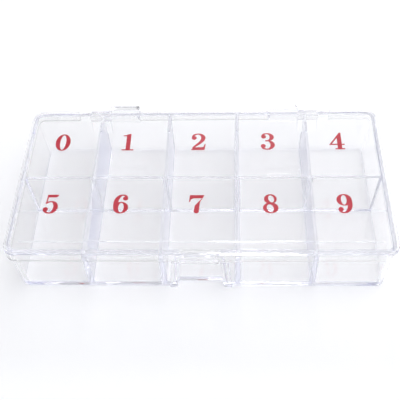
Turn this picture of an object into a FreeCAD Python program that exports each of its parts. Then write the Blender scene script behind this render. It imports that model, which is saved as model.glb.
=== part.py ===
import FreeCAD, Part
import math
import os

# Lidded parts sorting tray: a clear box of ten compartments under one hinged lid, with a printed
# figure over each compartment. Millimetres. The origin is the middle of the tray's underside, +X
# runs along the long side, +Y points to the hinge side and +Z up. The lid is modelled shut.

# Overall plan, set by the lid
lid_length = 157.0
lid_depth = 79.0
corner_radius = 5.0            # upright corners of the lid

# Compartments: two rows, divided by one long divider on the X axis
columns = 5                    # in each row
pitch = 30.8                   # cross dividers, centre to centre
pocket_corner = 0.6            # upright corners of a compartment, beside a divider
pocket_floor_round = 0.5
draft_inset = 0.35             # how far a compartment narrows on each side, from rim to floor
end_lean = 1.2                 # the same for an end wall, which also leans in on its outside

# Walls and heights of the tray
floor_thickness = 2.0
wall_thickness = 1.5
divider_thickness = 1.0        # at the top; the draft makes it thicker below
rim_height = 24.75             # underside of the tray to the top of its outer walls
divider_drop = 0.15            # the dividers stop this far below the rim
underside_round = 0.8

# Lid
lid_thickness = 1.2
skirt_depth = 5.3              # top of the lid to the bottom of its skirt
skirt_wall = 1.0
lid_edge_round = 0.9
side_gap = 0.2                 # skirt to tray wall
seat_gap = 0.05                # underside of the lid to the rim

# Bead across the top of the lid, behind the front edge
bead_end_gap = 6.0             # end of the bead to the end of the lid
bead_width = 0.9
bead_height = 0.25
bead_setback = 6.1             # middle of the bead to the front edge of the lid

# Hinge: a pin on each lid lug snaps down into a slotted ear on the tray
hinge_offset = 1.5             # hinge axis to the back face of the lid
pin_radius = 1.2
pin_clearance = 0.06           # radial, pin in ear
snap_slot = 2.0                # mouth of the ear, narrower than the pin
ear_end_gap = 26.1             # outer face of an ear to the end of the lid
ear_width = 9.0
ear_gusset = 8.0               # hinge axis down to where the ear's gusset meets the wall
lug_width = 13.5
lug_gap = 0.25                 # lug to ear, along the pin
lug_corner = 2.0               # upright inner corner of a lug
lug_crown = 1.5                # rounded back edge of a lug's top
notch_room = 4.9               # free length of the lid's notch beyond the ear
notch_slant_length = 5.8       # outer stretch of the notch, where it runs further over the rim
notch_slant_rise = 0.9

# Latch at the middle of the front: a tab on the lid over a finger recess in the tray
recess_half_low = 9.8          # half width of the recess at the underside
recess_half_high = 8.3         # half width of the recess at its top
recess_depth = 2.8
recess_top_drop = 0.9          # bottom of the skirt to the top of the recess
recess_corner = 1.2
cheek_width = 3.2              # raised cheek on each side of the recess
cheek_proud = 0.45
cheek_round = 0.4
cheek_gap = 0.3                # top of a cheek to the level of the tab's bottom
tab_side_gap = 0.5             # side of the tab to the side of the recess, at its top
tab_drop = 1.8                 # bottom of the skirt to the bottom of the tab
tab_corner = 1.2
catch_end_gap = 1.8            # end of the ridge inside the tab to the side of the tab
catch_height = 1.2
catch_proud = 0.15
thumb_width = 13.4             # bevel over the tab, where a thumb presses
thumb_back = 0.7
thumb_drop = 2.7

# Printed figures
figure_height = 9.85
figure_stem = 1.95             # width of an upright stroke
figure_hairline = 0.65         # width of a level stroke
figure_ball = 1.08             # radius of a ball terminal
pen_steps = 24                 # places where a stroke's width is set
end_taper = 4                  # a stroke swells over a quarter of its length from each end
ink_thickness = 0.05
ink_gap = 0.01                 # top of the lid to the ink film, which keeps the two faces apart
print_shifts_x = (-0.85, -2.1, -1.7, -2.0, -2.35)  # middle of each figure to the middle of its compartment
print_shifts_y = (1.25, 3.95)                      # the same for the back row and the front row

# Sizes that follow from the ones above
tray_length = lid_length - 2 * (skirt_wall + side_gap)
tray_depth = lid_depth - 2 * (skirt_wall + side_gap)
tray_corner = corner_radius - skirt_wall - side_gap
inner_half_x = tray_length / 2 - wall_thickness
inner_half_y = tray_depth / 2 - wall_thickness
inner_corner = tray_corner - wall_thickness
lid_underside = rim_height + seat_gap
lid_top = lid_underside + lid_thickness
skirt_bottom = lid_top - skirt_depth
hinge_y = lid_depth / 2 + hinge_offset
hinge_z = skirt_bottom
knuckle_radius = hinge_offset + skirt_wall
ear_outer_x = lid_length / 2 - ear_end_gap
ear_inner_x = ear_outer_x - ear_width
lug_outer_x = ear_inner_x - lug_gap
front_y = -tray_depth / 2
tab_bottom = skirt_bottom - tab_drop
tab_half = recess_half_high - tab_side_gap
recess_height = skirt_bottom - recess_top_drop
bead_length = lid_length - 2 * bead_end_gap


def point(x, y, z=0.0):
    return FreeCAD.Vector(x, y, z)


def corners(x_low, x_high, y_low, y_high):
    """The corners of a rectangle, from the right back one round to the left."""
    return [(x_high, y_high), (x_low, y_high), (x_low, y_low), (x_high, y_low)]


def rounded_outline(x_low, x_high, y_low, y_high, radii, z):
    """Closed level wire: a rectangle with a quarter circle of its own radius at each corner."""
    inward = [(-1, -1), (1, -1), (1, 1), (-1, 1)]
    arcs = []
    for index, (x, y) in enumerate(corners(x_low, x_high, y_low, y_high)):
        radius = radii[index]
        middle = point(x + inward[index][0] * radius, y + inward[index][1] * radius, z)
        circle = Part.Circle(middle, point(0, 0, 1), radius)
        arcs.append(Part.Arc(circle, index * math.pi / 2, (index + 1) * math.pi / 2).toShape())
    edges = []
    for index, arc in enumerate(arcs):
        following = arcs[(index + 1) % 4]
        edges.append(arc)
        side_end = following.valueAt(following.FirstParameter)
        edges.append(Part.makeLine(arc.valueAt(arc.LastParameter), side_end))
    return Part.Wire(edges)


def rounded_block(length, depth, radius, z_low, z_high):
    """Upright block with rounded corners, centred on the origin."""
    outline = rounded_outline(-length / 2, length / 2, -depth / 2, depth / 2, [radius] * 4, z_low)
    return Part.Face(outline).extrude(point(0, 0, z_high - z_low))


def block(x_low, x_high, y_low, y_high, z_low, z_high):
    return Part.makeBox(x_high - x_low, y_high - y_low, z_high - z_low, point(x_low, y_low, z_low))


def prism(points, direction):
    """Solid swept along direction from a flat outline with straight sides."""
    return Part.Face(Part.makePolygon(points + points[:1])).extrude(direction)


def edges_in(solid, x=None, y=None, z=None):
    """The edges of a solid that stay at the given coordinates all along."""
    found = []
    for edge in solid.Edges:
        bounds = edge.BoundBox
        spans = [(x, bounds.XMin, bounds.XMax), (y, bounds.YMin, bounds.YMax), (z, bounds.ZMin, bounds.ZMax)]
        if all(at is None or abs(low - at) + abs(high - at) < 1e-4 for at, low, high in spans):
            found.append(edge)
    return found


def standing_edges(solid, y):
    """The edges of a solid's upright face at depth y, apart from the one on the ground."""
    return [edge for edge in edges_in(solid, y=y) if edge.BoundBox.ZMax > 1e-4]


def mirrored(solid):
    """The solid's copy on the other side of the middle of the box."""
    return solid.mirror(point(0, 0), point(1, 0))


# ---- tray -------------------------------------------------------------------------------------

def column_limits():
    """Low and high x of each compartment at the rim, from left to right."""
    dividers = [(index - (columns - 2) / 2) * pitch for index in range(columns - 1)]
    lows = [-inner_half_x] + [x + divider_thickness / 2 for x in dividers]
    highs = [x - divider_thickness / 2 for x in dividers] + [inner_half_x]
    return list(zip(lows, highs))


def side_inset(x):
    """How far the side of a compartment at x comes in, from rim to floor."""
    return end_lean if abs(x) >= inner_half_x else draft_inset


def pocket(x_low, x_high, y_low, y_high):
    """The space of one compartment: it narrows towards a floor with rounded edges."""
    radii = [inner_corner if abs(x) >= inner_half_x and abs(y) >= inner_half_y else pocket_corner
             for x, y in corners(x_low, x_high, y_low, y_high)]
    rim = rounded_outline(x_low, x_high, y_low, y_high, radii, rim_height)
    foot = rounded_outline(x_low + side_inset(x_low), x_high - side_inset(x_high), y_low + draft_inset,
                           y_high - draft_inset, radii, floor_thickness)
    space = Part.makeLoft([foot, rim], True, True)
    return space.makeFillet(pocket_floor_round, edges_in(space, z=floor_thickness))


def pockets():
    """The spaces of all compartments, both rows."""
    spaces = []
    for x_low, x_high in column_limits():
        spaces.append(pocket(x_low, x_high, divider_thickness / 2, inner_half_y))
        spaces.append(pocket(x_low, x_high, -inner_half_y, -divider_thickness / 2))
    return spaces


def tapered_block(half_low, half_high, y_low, y_high, height):
    """Block at the middle of the front that is narrower at its top than at its foot."""
    outline = [point(-half_low, y_low, 0), point(half_low, y_low, 0),
               point(half_high, y_low, height), point(-half_high, y_low, height)]
    return prism(outline, point(0, y_high - y_low, 0))


def finger_recess():
    """The space that lets a fingertip reach under the lid's tab."""
    back_y = front_y + recess_depth
    space = tapered_block(recess_half_low, recess_half_high, front_y - 2 * cheek_proud, back_y, recess_height)
    return space.makeFillet(recess_corner, standing_edges(space, back_y))


def recess_wall():
    """The tray's wall behind and over the finger recess."""
    back_y = front_y + recess_depth + wall_thickness
    wall = tapered_block(recess_half_low + wall_thickness, recess_half_high + wall_thickness,
                         front_y + wall_thickness / 2, back_y, recess_height + wall_thickness)
    return wall.makeFillet(recess_corner, standing_edges(wall, back_y))


def cheeks():
    """Raised band on the front wall; the recess leaves a cheek of it on each side."""
    band = tapered_block(recess_half_low + cheek_width, recess_half_high + cheek_width,
                         front_y - cheek_proud, front_y + wall_thickness / 2, tab_bottom - cheek_gap)
    return band.makeFillet(cheek_round, standing_edges(band, front_y - cheek_proud))


def hinge_ear():
    """Right-hand ear: a slotted knuckle on a gusset behind the back wall."""
    wall_y = tray_depth / 2 - wall_thickness / 2
    outline = [point(ear_inner_x, wall_y, hinge_z + knuckle_radius),
               point(ear_inner_x, hinge_y, hinge_z + knuckle_radius),
               point(ear_inner_x, hinge_y + knuckle_radius, hinge_z),
               point(ear_inner_x, tray_depth / 2, hinge_z - ear_gusset),
               point(ear_inner_x, wall_y, hinge_z - ear_gusset)]
    along = point(1, 0, 0)
    axis_start = point(ear_inner_x, hinge_y, hinge_z)
    ear = prism(outline, along * ear_width)
    ear = ear.fuse(Part.makeCylinder(knuckle_radius, ear_width, axis_start, along))
    ear = ear.cut(Part.makeCylinder(pin_radius + pin_clearance, ear_width, axis_start, along))
    mouth = block(ear_inner_x, ear_outer_x, hinge_y - snap_slot / 2, hinge_y + snap_slot / 2,
                  hinge_z, hinge_z + 2 * knuckle_radius)
    return ear.cut(mouth)


def outside():
    """The tray's outside: its end walls lean in towards an underside with rounded edges."""
    half_x = tray_length / 2
    half_y = tray_depth / 2
    radii = [tray_corner] * 4
    foot = rounded_outline(-half_x + end_lean, half_x - end_lean, -half_y, half_y, radii, 0)
    rim = rounded_outline(-half_x, half_x, -half_y, half_y, radii, rim_height)
    body = Part.makeLoft([foot, rim], True, True)
    return body.makeFillet(underside_round, edges_in(body, z=0))


def tray():
    shell = outside().cut(pockets())
    shell = shell.cut(rounded_block(2 * inner_half_x, 2 * inner_half_y, inner_corner,
                                    rim_height - divider_drop, rim_height))
    ear = hinge_ear()
    shell = shell.fuse([recess_wall(), cheeks(), ear, mirrored(ear)])
    return shell.cut(finger_recess()).removeSplitter()


# ---- lid --------------------------------------------------------------------------------------

def front_bead():
    """Low rounded bead across the top: a slice of a round bar, with its ends rounded in plan."""
    bar_radius = (bead_width ** 2 / 4 + bead_height ** 2) / (2 * bead_height)
    bead_y = -lid_depth / 2 + bead_setback
    bar_start = point(-bead_length / 2, bead_y, lid_top + bead_height - bar_radius)
    bar = Part.makeCylinder(bar_radius, bead_length, bar_start, point(1, 0, 0))
    outline = rounded_outline(-bead_length / 2, bead_length / 2, bead_y - bead_width / 2,
                              bead_y + bead_width / 2, [bead_width * 0.49] * 4, lid_top - lid_thickness / 2)
    return bar.common(Part.Face(outline).extrude(point(0, 0, lid_thickness)))


def hinge_lug():
    """Right-hand lug with its pin: it hangs behind the skirt and turns beside the ear."""
    back_y = hinge_y + knuckle_radius
    inner_x = lug_outer_x - lug_width
    body = block(inner_x, lug_outer_x, lid_depth / 2 - skirt_wall, back_y, hinge_z, lid_top)
    body = body.makeFillet(lug_crown, edges_in(body, y=back_y, z=lid_top))
    along = point(1, 0, 0)
    body = body.fuse(Part.makeCylinder(knuckle_radius, lug_width, point(inner_x, hinge_y, hinge_z), along))
    body = body.removeSplitter().common(lug_plan(inner_x, back_y))
    pin_length = ear_outer_x - lug_outer_x
    return body.fuse(Part.makeCylinder(pin_radius, pin_length, point(lug_outer_x, hinge_y, hinge_z), along))


def lug_plan(inner_x, back_y):
    """Upright block with one rounded corner, which rounds the inner end of a lug."""
    z_low = hinge_z - knuckle_radius
    plan = block(inner_x, lug_outer_x, lid_depth / 2 - skirt_wall, back_y, z_low, lid_top)
    return plan.makeFillet(lug_corner, edges_in(plan, x=inner_x, y=back_y))


def hinge_notch():
    """Right-hand notch in the lid's back edge, where the ear stands."""
    skirt_y = lid_depth / 2 - skirt_wall
    behind_y = lid_depth / 2 + skirt_wall
    end_x = ear_outer_x + notch_room
    outline = [point(lug_outer_x, behind_y), point(lug_outer_x, skirt_y),
               point(end_x - notch_slant_length, skirt_y), point(end_x, skirt_y - notch_slant_rise),
               point(end_x, behind_y)]
    outline = [corner + point(0, 0, skirt_bottom) for corner in outline]
    return prism(outline, point(0, 0, skirt_depth))


def latch_tab():
    """Tab under the front skirt, with a low ridge inside."""
    front = -lid_depth / 2
    back = front + skirt_wall
    tab = block(-tab_half, tab_half, front, back, tab_bottom, lid_underside)
    lower_corners = [edges_in(tab, x=side * tab_half, z=tab_bottom)[0] for side in (-1, 1)]
    tab = tab.makeFillet(tab_corner, lower_corners)
    catch_half = tab_half - catch_end_gap
    outline = [point(-catch_half, back, tab_bottom),
               point(-catch_half, back + catch_proud, tab_bottom + catch_height / 2),
               point(-catch_half, back, tab_bottom + catch_height)]
    return tab.fuse(prism(outline, point(2 * catch_half, 0, 0)))


def thumb_bevel():
    """The wedge taken off the lid's front edge over the tab."""
    front = -lid_depth / 2
    outline = [point(-thumb_width / 2, front, lid_top - thumb_drop),
               point(-thumb_width / 2, front, lid_top),
               point(-thumb_width / 2, front + thumb_back, lid_top)]
    return prism(outline, point(thumb_width, 0, 0))


def lid():
    shell = rounded_block(lid_length, lid_depth, corner_radius, skirt_bottom, lid_top)
    shell = shell.makeFillet(lid_edge_round, edges_in(shell, z=lid_top))
    hollow = rounded_block(lid_length - 2 * skirt_wall, lid_depth - 2 * skirt_wall,
                           corner_radius - skirt_wall, skirt_bottom, lid_underside)
    notch = hinge_notch()
    shell = shell.cut([hollow, notch, mirrored(notch)])
    lug = hinge_lug()
    shell = shell.fuse([lug, mirrored(lug), latch_tab(), front_bead()])
    return shell.cut(thumb_bevel()).removeSplitter()


# ---- printed figures --------------------------------------------------------------------------

def em(x, y):
    """A place in a figure, as shares of its height from the middle of its foot."""
    return point(x * figure_height, (y - 0.5) * figure_height)


def smooth_line(points):
    line = Part.BSplineCurve()
    line.interpolate(points)
    return line


def pen_stroke(*path):
    """Flat stroke along a smooth path, wide where the path climbs and thin where it runs level."""
    line = smooth_line([em(x, y) for x, y in path])
    span = line.LastParameter - line.FirstParameter
    left = []
    right = []
    for step in range(pen_steps + 1):
        at = line.FirstParameter + span * step / pen_steps
        heading = line.tangent(at)[0]
        swell = min(1, end_taper * step / pen_steps, end_taper * (1 - step / pen_steps))
        width = figure_hairline + (figure_stem - figure_hairline) * heading.y ** 2 * swell
        across = point(-heading.y, heading.x) * (width / 2)
        left.append(line.value(at) + across)
        right.append(line.value(at) - across)
    right.reverse()
    edges = [smooth_line(left).toShape(), Part.makeLine(left[-1], right[0]),
             smooth_line(right).toShape(), Part.makeLine(right[-1], left[0])]
    return Part.Face(Part.Wire(edges))


def shape(*corners):
    """Flat shape with straight sides."""
    places = [em(x, y) for x, y in corners]
    return Part.Face(Part.makePolygon(places + places[:1]))


def oval(x, y, half_width, half_height, tilt=0.0):
    """Flat oval, with its top turned to the left by tilt degrees."""
    centre = em(x, y)
    turn = FreeCAD.Rotation(point(0, 0, 1), tilt)
    tall = turn.multVec(point(0, half_height * figure_height))
    wide = turn.multVec(point(half_width * figure_height, 0))
    long_axis, short_axis = sorted([tall, wide], key=lambda axis: -axis.Length)
    return Part.Face(Part.Wire(Part.Ellipse(centre + long_axis, centre + short_axis, centre).toShape()))


def ball(x, y):
    """Flat disc that ends a stroke."""
    return Part.Face(Part.Wire(Part.Circle(em(x, y), point(0, 0, 1), figure_ball).toShape()))


def figure_0():
    return [oval(0, 0.5, 0.335, 0.5).cut(oval(0, 0.5, 0.135, 0.437))]


def figure_1():
    stem = shape((-0.09, 0.0), (0.105, 0.0), (0.105, 1.0), (0.04, 1.0), (-0.09, 0.955))
    flag = shape((-0.24, 0.86), (-0.09, 0.86), (0.04, 0.90), (0.04, 1.0), (-0.11, 0.92), (-0.24, 0.92))
    foot = shape((-0.26, 0.0), (0.27, 0.0), (0.27, 0.065), (-0.26, 0.065))
    return [stem, flag, foot]


def figure_2():
    bowl = pen_stroke((-0.265, 0.76), (-0.19, 0.91), (0.0, 0.968), (0.205, 0.78), (0.16, 0.56),
                      (0.0, 0.37), (-0.25, 0.09))
    foot = shape((-0.33, 0.0), (0.28, 0.0), (0.33, 0.35), (0.28, 0.35), (0.23, 0.19), (0.12, 0.165),
                 (-0.20, 0.165))
    return [bowl, ball(-0.195, 0.73), foot]


def figure_3():
    upper = pen_stroke((-0.24, 0.815), (-0.17, 0.92), (0.0, 0.968), (0.185, 0.76), (0.04, 0.55),
                       (-0.10, 0.53))
    lower = pen_stroke((-0.10, 0.53), (0.04, 0.525), (0.215, 0.28), (0.0, 0.032), (-0.20, 0.09),
                       (-0.27, 0.195))
    return [upper, lower, ball(-0.175, 0.78), ball(-0.205, 0.225)]


def figure_4():
    sail = shape((-0.35, 0.26), (0.215, 0.26), (0.215, 1.0), (0.14, 1.0))
    gap = shape((-0.22, 0.33), (0.02, 0.33), (0.02, 0.68))
    stem = shape((0.02, 0.0), (0.215, 0.0), (0.215, 0.34), (0.02, 0.34))
    bar = shape((0.215, 0.26), (0.34, 0.26), (0.34, 0.33), (0.215, 0.33))
    foot = shape((-0.09, 0.0), (0.335, 0.0), (0.335, 0.065), (-0.09, 0.065))
    return [sail.cut(gap), stem, bar, foot]


def figure_5():
    flag = shape((-0.20, 1.0), (-0.15, 0.855), (0.17, 0.855), (0.24, 0.90), (0.28, 1.0))
    stem = shape((-0.20, 1.0), (-0.14, 1.0), (-0.17, 0.55), (-0.23, 0.50))
    bowl = pen_stroke((-0.22, 0.52), (-0.12, 0.60), (0.02, 0.625), (0.21, 0.36), (0.0, 0.032),
                      (-0.18, 0.08), (-0.27, 0.195))
    return [flag, stem, bowl, ball(-0.205, 0.225)]


def figure_6():
    back = pen_stroke((0.235, 0.83), (0.17, 0.93), (0.04, 0.968), (-0.16, 0.80), (-0.225, 0.45),
                      (-0.16, 0.15), (0.0, 0.032))
    bowl = oval(0.0, 0.305, 0.315, 0.305).cut(oval(0.015, 0.305, 0.115, 0.25))
    return [back, bowl, ball(0.17, 0.79)]


def figure_7():
    bar = shape((-0.31, 0.60), (-0.265, 0.60), (-0.23, 0.73), (-0.13, 0.79), (0.23, 0.79), (0.34, 0.96),
                (-0.28, 0.96))
    stem = shape((0.23, 0.79), (0.34, 0.96), (0.15, 0.58), (0.115, 0.12), (-0.10, 0.12), (-0.06, 0.40))
    return [bar, stem, ball(0.01, 0.11)]


def figure_8():
    upper = oval(0.0, 0.745, 0.265, 0.255).cut(oval(0.03, 0.75, 0.115, 0.19, 15))
    lower = oval(0.0, 0.28, 0.32, 0.28).cut(oval(-0.02, 0.265, 0.14, 0.205, 15))
    return [upper, lower]


def figure_9():
    return [half_turned(face) for face in figure_6()]


def half_turned(face):
    return face.rotated(point(0, 0), point(0, 0, 1), 180)


def numeral(faces, x, y):
    """Ink film of one figure on top of the lid."""
    parts = [face.extrude(point(0, 0, ink_thickness)) for face in faces]
    film = parts[0]
    if len(parts) > 1:
        film = film.fuse(parts[1:]).removeSplitter()
    return film.translated(point(x, y, lid_top + ink_gap))


def numerals():
    """One figure for each compartment, counted along the back row and then the front row."""
    figures = [figure_0, figure_1, figure_2, figure_3, figure_4,
               figure_5, figure_6, figure_7, figure_8, figure_9]
    row_middle = (divider_thickness / 2 + inner_half_y) / 2
    films = {}
    for number, figure in enumerate(figures[:2 * columns]):
        row, column = divmod(number, columns)
        x = sum(column_limits()[column]) / 2 + print_shifts_x[column % len(print_shifts_x)]
        y = (row_middle, -row_middle)[row] + print_shifts_y[row]
        films["numeral_%d" % number] = numeral(figure(), x, y)
    return films


def main():
    os.makedirs("parts", exist_ok=True)
    nodes = {"tray": tray(), "lid": lid()}
    nodes.update(numerals())
    for name, solid in nodes.items():
        solid.exportStep("parts/%s.step" % name)
        print(name, solid.ShapeType, len(solid.Solids), solid.isValid(), round(solid.Volume, 2))


main()
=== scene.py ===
# %% [markdown]
# # A numbered sorting box in clear polystyrene
# The object is a shallow box of ten compartments under one hinged lid. Both mouldings are
# clear, and ten red figures are printed on the lid. Its shape comes ready made from the CAD
# frame, exact to a few hundredths of a millimetre, so this lesson is about the finish:
# how clear plastic bends, mirrors and tints the light, and how ink sits on top of it.

# %% Load the frame
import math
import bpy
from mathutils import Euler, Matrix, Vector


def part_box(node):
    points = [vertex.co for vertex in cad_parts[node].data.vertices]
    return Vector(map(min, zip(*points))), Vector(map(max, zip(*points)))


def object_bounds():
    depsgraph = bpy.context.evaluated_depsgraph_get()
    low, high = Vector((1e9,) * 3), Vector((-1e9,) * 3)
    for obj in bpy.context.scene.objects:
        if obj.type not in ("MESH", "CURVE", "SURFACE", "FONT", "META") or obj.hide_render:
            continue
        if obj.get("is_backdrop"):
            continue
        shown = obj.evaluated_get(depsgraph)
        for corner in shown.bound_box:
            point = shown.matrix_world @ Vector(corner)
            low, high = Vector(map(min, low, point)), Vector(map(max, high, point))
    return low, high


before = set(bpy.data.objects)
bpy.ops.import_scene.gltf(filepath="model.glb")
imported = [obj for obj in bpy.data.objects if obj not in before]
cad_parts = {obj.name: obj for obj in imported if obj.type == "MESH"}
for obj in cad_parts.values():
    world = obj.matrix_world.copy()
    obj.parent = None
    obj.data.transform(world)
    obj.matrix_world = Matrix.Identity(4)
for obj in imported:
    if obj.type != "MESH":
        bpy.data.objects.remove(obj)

# %% [markdown]
# The box that the CAD parts fill is measured before anything is added. At the end it is set
# beside the box of the dressed model, to show that the finish didn't change the size. The
# scene works in metres, as the frame does, so MM turns the small real sizes into metres.

MM = 0.001
cad_low, cad_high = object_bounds()
_, lid_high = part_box("lid")
middle = (cad_low + cad_high) / 2
print("size in mm:", [round(side / MM, 2) for side in cad_high - cad_low])

# %% [markdown]
# ## Colours and nodes
# A colour is picked on a screen, as an sRGB hex value, but light adds up in linear values, so one
# function turns the first into the second.

# %% Turn a hex colour to linear light
def linear(hex_colour):
    """An sRGB hex value as linear red, green, blue and an alpha of 1."""
    steps = [int(hex_colour[i:i + 2], 16) / 255 for i in (1, 3, 5)]
    return [s / 12.92 if s <= 0.04045 else ((s + 0.055) / 1.055) ** 2.4 for s in steps] + [1]


print("mid grey:", [round(value, 3) for value in linear("#808080")])

# %% [markdown]
# A material is a small tree of nodes. Each node could be set up in five lines of its own.
# One function that adds a node, sets its values and links its inputs keeps each material
# short enough to read at a glance, from the pattern at the top to the output at the bottom.
# An input is called by its label. A few nodes have inputs that share a label, and those are
# called by their number: _0 is the first.

# %% Add a node
def add_node(tree, kind, settings=(), **inputs):
    """A new node. settings are its properties; an input is a value or another node's socket."""
    node = tree.nodes.new(kind)
    for name, value in dict(settings).items():
        setattr(node, name, value)
    for name, value in inputs.items():
        socket = node.inputs[int(name[1:]) if name[1:].isdigit() else name.replace("_", " ")]
        if isinstance(value, bpy.types.NodeSocket):
            tree.links.new(value, socket)
        else:
            socket.default_value = value
    return node


def new_material(name):
    """An empty node material and its tree."""
    material = bpy.data.materials.new(name)
    material.use_nodes = True
    material.node_tree.nodes.clear()
    return material, material.node_tree


print("node helpers ready")

# %% [markdown]
# Real surfaces are never quite even, and most of their unevenness is noise of a known size.
# The noise is laid out in the part's own coordinates, so that it stays on the lid when the
# lid swings, and its size is given in real millimetres. One noise node per pattern would do
# as well, but then every one would repeat the same two lines that set its scale. Noise
# rarely leaves its middle range, so that range is stretched over the wanted values.

# %% Make noise of a real size
NOISE_RANGE = (0.3, 0.7)


def noise(tree, size_mm, low, high):
    """A soft random pattern. It swings between low and high over about size_mm."""
    place = add_node(tree, "ShaderNodeTexCoord").outputs["Object"]
    pattern = add_node(
        tree, "ShaderNodeTexNoise", Vector=place, Scale=1 / (size_mm * MM), Detail=2,
    )
    level = add_node(
        tree, "ShaderNodeMapRange", Value=pattern.outputs[0],
        From_Min=NOISE_RANGE[0], From_Max=NOISE_RANGE[1], To_Min=low, To_Max=high,
    )
    return level.outputs["Result"]


def relief(tree, size_mm, depth_mm):
    """A normal that tilts as if noise of size_mm made the surface rise and fall by depth_mm."""
    bump = add_node(
        tree, "ShaderNodeBump",
        Strength=1, Distance=depth_mm * MM, Height=noise(tree, size_mm, 0, 1),
    )
    return bump.outputs["Normal"]


print("pattern helpers ready")

# %% [markdown]
# ## Clear polystyrene
# The tray and the lid are general-purpose polystyrene, injection moulded in a polished tool.
# It is as clear as glass and bends light more than window glass does, with an index of 1.59.
# A little blue toner hides the resin's natural yellow, and it only shows where light runs far
# through the plastic: along a divider, or out of an edge. A tinted surface would colour every
# face alike, so the tint goes into the volume instead, where it grows with the path. The
# surface colour is only a hair below white: that is the little light that dust and fine
# scratches take at each face, and it makes the view through four faces greyer than the view
# through two.
# Two small faults make it a moulding and not a drawing. The skin sinks by about 0.02 mm over
# a centimetre or two, where the plastic shrank as it cooled, which makes reflections drift.
# Handling leaves a very faint haze in patches.

# %% Make the clear plastic
POLYSTYRENE_IOR = 1.59
FACE_COLOUR = "#FDFDFD"
TONER = "#A8ADDC"
TONER_DENSITY = 3.6     # how strongly a metre of plastic takes the toner's colour
SINK_MM = 16
SINK_DEPTH_MM = 0.02
HAZE_MM = 9
HAZE = 0.01             # roughness where the haze is thickest


def clear_polystyrene(name):
    """Moulded polystyrene: toned in the volume, with a faint sink and a faint haze."""
    material, tree = new_material(name)
    surface = add_node(
        tree, "ShaderNodeBsdfPrincipled",
        Base_Color=linear(FACE_COLOUR), IOR=POLYSTYRENE_IOR, Transmission_Weight=1,
        Roughness=noise(tree, HAZE_MM, 0, HAZE), Normal=relief(tree, SINK_MM, SINK_DEPTH_MM),
    )
    volume = add_node(
        tree, "ShaderNodeVolumeAbsorption", Color=linear(TONER), Density=TONER_DENSITY,
    )
    add_node(
        tree, "ShaderNodeOutputMaterial",
        Surface=surface.outputs["BSDF"], Volume=volume.outputs["Volume"],
    )
    return material


tray_plastic = clear_polystyrene("tray_polystyrene_clear")
lid_plastic = clear_polystyrene("lid_polystyrene_clear")
print("made", tray_plastic.name, "and", lid_plastic.name)

# %% [markdown]
# ## Red ink
# The figures are screen printed. The squeegee lays an opaque film that is a little thicker in
# some places than in others, so its red and its gloss drift over a few millimetres, and the
# mesh of the screen leaves a fine grain. A real mesh has its threads about 0.1 mm apart; the
# grain here is 0.25 mm wide, as coarse as it needs to be to show. The film could be painted
# on the lid as an image, but here each figure is a part of its own, so it only needs a
# material. The two reds are mixed by the noise, in a Mix node whose colours are inputs 6
# and 7.

# %% Make the ink
INK_IOR = 1.5
THIN_INK = "#BF3345"
THICK_INK = "#B2222F"
INK_DRIFT_MM = 3
INK_PATCH_MM = 2
INK_ROUGHNESS = (0.32, 0.42)
INK_GRAIN_MM = 0.25
INK_GRAIN_DEPTH_MM = 0.004


def screen_ink(name):
    """Screen-print ink: an opaque satin film, redder where it lies thicker."""
    material, tree = new_material(name)
    colour = add_node(
        tree, "ShaderNodeMix", {"data_type": "RGBA"},
        _0=noise(tree, INK_DRIFT_MM, 0, 1), _6=linear(THIN_INK), _7=linear(THICK_INK),
    )
    surface = add_node(
        tree, "ShaderNodeBsdfPrincipled", Base_Color=colour.outputs[2], IOR=INK_IOR,
        Roughness=noise(tree, INK_PATCH_MM, *INK_ROUGHNESS),
        Normal=relief(tree, INK_GRAIN_MM, INK_GRAIN_DEPTH_MM),
    )
    add_node(tree, "ShaderNodeOutputMaterial", Surface=surface.outputs["BSDF"])
    return material


ink = screen_ink("red_screen_ink")
print("made", ink.name)

# %% [markdown]
# ## Dress the parts
# The frame names its parts by what they are. Two of them are plastic and all the others are
# figures, so a short table says which part wears which plastic, and the rest get the ink.

# %% Give each part its finish
FINISHES = {"tray": tray_plastic, "lid": lid_plastic}
for name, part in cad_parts.items():
    part.data.materials.clear()
    part.data.materials.append(FINISHES.get(name, ink))
print("dressed", len(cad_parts), "parts")

# %% [markdown]
# ## Floor
# A clear box shows what it stands on, so the floor does half of the work: it is a sheet of
# white studio paper, nearly matt, with a faint tooth of 0.4 mm, drawn coarser than the
# fibres are so that it shows. A sheet that curves up behind the object hides the horizon, but
# only from the front. This object is looked at from all round, so its sheet is flat and wide.
# It lies a hair under the tray, since two surfaces in the same place would flicker where they
# meet.

# %% Lay the floor
PAPER = "#FBFBFC"
PAPER_GLOSS = 0.2
PAPER_PATCH_MM = 1.5
PAPER_ROUGHNESS = (0.85, 0.95)
PAPER_TOOTH_MM = 0.4
PAPER_TOOTH_DEPTH_MM = 0.02


def paper_floor(size, gap):
    """A square sheet of paper under the object. size is in metres."""
    bpy.ops.mesh.primitive_plane_add(size=size, location=(0, 0, cad_low.z - gap))
    floor = bpy.context.object
    floor.name = "floor"
    material, tree = new_material("floor_paper")
    paper = add_node(
        tree, "ShaderNodeBsdfPrincipled",
        Base_Color=linear(PAPER), Specular_IOR_Level=PAPER_GLOSS,
        Roughness=noise(tree, PAPER_PATCH_MM, *PAPER_ROUGHNESS),
        Normal=relief(tree, PAPER_TOOTH_MM, PAPER_TOOTH_DEPTH_MM),
    )
    add_node(tree, "ShaderNodeOutputMaterial", Surface=paper.outputs["BSDF"])
    floor.data.materials.append(material)
    floor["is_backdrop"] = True
    return floor


floor = paper_floor(size=6, gap=0.05 * MM)
print("laid a floor of", floor.data.materials[0].name)

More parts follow.
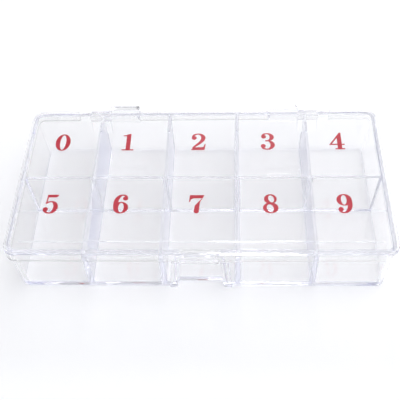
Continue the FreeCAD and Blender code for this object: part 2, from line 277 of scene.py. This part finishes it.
# %% [markdown]
# ## Light
# A soft box is a square lamp with a white cloth in front. It is described by its radiance,
# which is how bright the cloth itself looks, since that is what the gloss shows. The power
# that the lamp needs follows from the radiance and the area. One lamp could light the set,
# but here each of four has a job of its own.
# The wide lamp overhead lights the floor through the box. The lamps at the right and at the
# rear right push the shadow out to the left and the front. The small bright one at the rear
# puts glints on the bead and the ink. The lid mirrors one patch of the studio towards the
# camera, up and behind the box, and no lamp stands in that patch, or it would veil the lid.

# %% Set up the lamps
def soft_box(name, place, aim, width, radiance):
    """A square area lamp at place, turned to aim. Places and width are in metres."""
    lamp = bpy.data.lights.new(name, "AREA")
    lamp.size = width
    lamp.energy = radiance * math.pi * width ** 2
    holder = bpy.data.objects.new(name, lamp)
    holder.location = place
    holder.rotation_euler = (Vector(aim) - Vector(place)).to_track_quat("-Z", "Y").to_euler()
    bpy.context.scene.collection.objects.link(holder)
    return holder


lamps = [
    soft_box("overhead", (0.05, -0.1, 0.8), (0.05, -0.1, 0), width=0.7, radiance=1.0),
    soft_box("right", (0.75, 0.15, 0.5), middle, width=0.5, radiance=0.75),
    soft_box("rear", (0.05, 0.72, 0.55), middle, width=0.15, radiance=14),
    soft_box("rear_right", (0.6, 0.7, 0.5), middle, width=0.5, radiance=1.0),
]
print("lamps:", [lamp.name for lamp in lamps])

# %% [markdown]
# The studio around the set is the rest of the light. It is bright on the right, where a window
# or a reflector would be, and falls off to nothing on the left. A dome of one even brightness
# would be simpler, but clear plastic shows its edges only by what they bend into view: with
# light from all sides the box would vanish, and with too little every edge would be black.
# A low white wall runs all round the set and fades out above. From the side it is the
# background, and it keeps the near edges of the lid from turning black.

# %% Surround the set with a dome
STUDIO_WHITE = "#F5F6F9"


def studio_world(toward, dim, bright, wall_top, wall_fade):
    """A dome of light over a low white wall.

    The dome is bright on the side that lies toward a direction and dim on the other. The wall
    is white up to wall_top degrees above the floor and has faded out at wall_fade degrees.
    """
    world = bpy.data.worlds.new("studio")
    world.use_nodes = True
    tree = world.node_tree
    tree.nodes.clear()
    direction = add_node(tree, "ShaderNodeTexCoord").outputs["Generated"]
    side = add_node(
        tree, "ShaderNodeVectorMath", {"operation": "DOT_PRODUCT"},
        _0=direction, _1=Vector(toward).normalized(),
    )
    dome = add_node(
        tree, "ShaderNodeMapRange", Value=side.outputs["Value"],
        From_Min=-1, From_Max=1, To_Min=dim, To_Max=bright,
    )
    height = add_node(tree, "ShaderNodeSeparateXYZ", Vector=direction)
    level = add_node(
        tree, "ShaderNodeMapRange", {"interpolation_type": "SMOOTHSTEP"},
        Value=height.outputs["Z"],
        From_Min=math.sin(math.radians(wall_top)), From_Max=math.sin(math.radians(wall_fade)),
        To_Min=1, To_Max=dome.outputs["Result"],
    )
    light = add_node(
        tree, "ShaderNodeBackground", Color=linear(STUDIO_WHITE), Strength=level.outputs["Result"],
    )
    add_node(tree, "ShaderNodeOutputWorld", Surface=light.outputs["Background"])
    bpy.context.scene.world = world
    return world


world = studio_world(toward=(1, 0.03, 0), dim=0, bright=1.6, wall_top=6, wall_fade=24)
print("dome:", world.name)

# %% [markdown]
# ## Camera
# The box is seen from the front and well above, from less than two box lengths away, so its
# far side is clearly narrower than its near side. The camera is placed by two angles and a
# distance from the point it looks at, which is easier to judge than three coordinates, and
# it is rolled a little, because it was held by hand.

# %% Place the camera
def place_camera(aim, azimuth, elevation, distance, roll, lens):
    """A camera that looks down on aim. Azimuth turns it round to the right."""
    turn, tilt = math.radians(azimuth), math.radians(elevation)
    reach = math.cos(tilt)
    back = Vector((math.sin(turn) * reach, -math.cos(turn) * reach, math.sin(tilt)))
    data = bpy.data.cameras.new("camera")
    data.lens = lens
    data.clip_start = 10 * MM
    camera = bpy.data.objects.new("camera", data)
    camera.location = aim + back * distance
    camera.rotation_euler = (
        (-back).to_track_quat("-Z", "Y") @ Euler((0, 0, math.radians(roll))).to_quaternion()
    ).to_euler()
    bpy.context.scene.collection.objects.link(camera)
    bpy.context.scene.camera = camera
    return camera


camera = place_camera(
    aim=Vector((-0.2 * MM, -12.9 * MM, lid_high.z)),
    azimuth=4.05, elevation=52.11, distance=287.8 * MM, roll=-3.32, lens=62.7,
)
print("camera", round((camera.location - middle).length / MM), "mm from the box")

# %% [markdown]
# ## View and light paths
# The Standard view shows a colour as it was written. The path settings matter more here than
# in most scenes. Light can be mirrored back and forth inside a divider dozens of times before
# it gets out, and a path that is cut short counts as black, so few bounces would draw black
# lines along every edge. The glossy filter is off, because it dims what is seen through the
# plastic. Long paths cost little, as most of them leave the box early.

# %% Set the view and the paths
PLASTIC_BOUNCES = 256
PAPER_BOUNCES = 6

scene = bpy.context.scene
scene.view_settings.view_transform = "Standard"
scene.cycles.blur_glossy = 0
scene.cycles.max_bounces = PLASTIC_BOUNCES
scene.cycles.transmission_bounces = PLASTIC_BOUNCES
scene.cycles.glossy_bounces = PLASTIC_BOUNCES
scene.cycles.diffuse_bounces = PAPER_BOUNCES
print("view:", scene.view_settings.view_transform)

# %% [markdown]
# The box of all visible parts is measured again and written beside the first one. The two
# agree, because the finish only added materials.

# %% Write the sizes and finish
new_low, new_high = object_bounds()
growth = (new_high - new_low) - (cad_high - cad_low)
print("grew by mm:", [round(side / MM, 3) for side in growth])
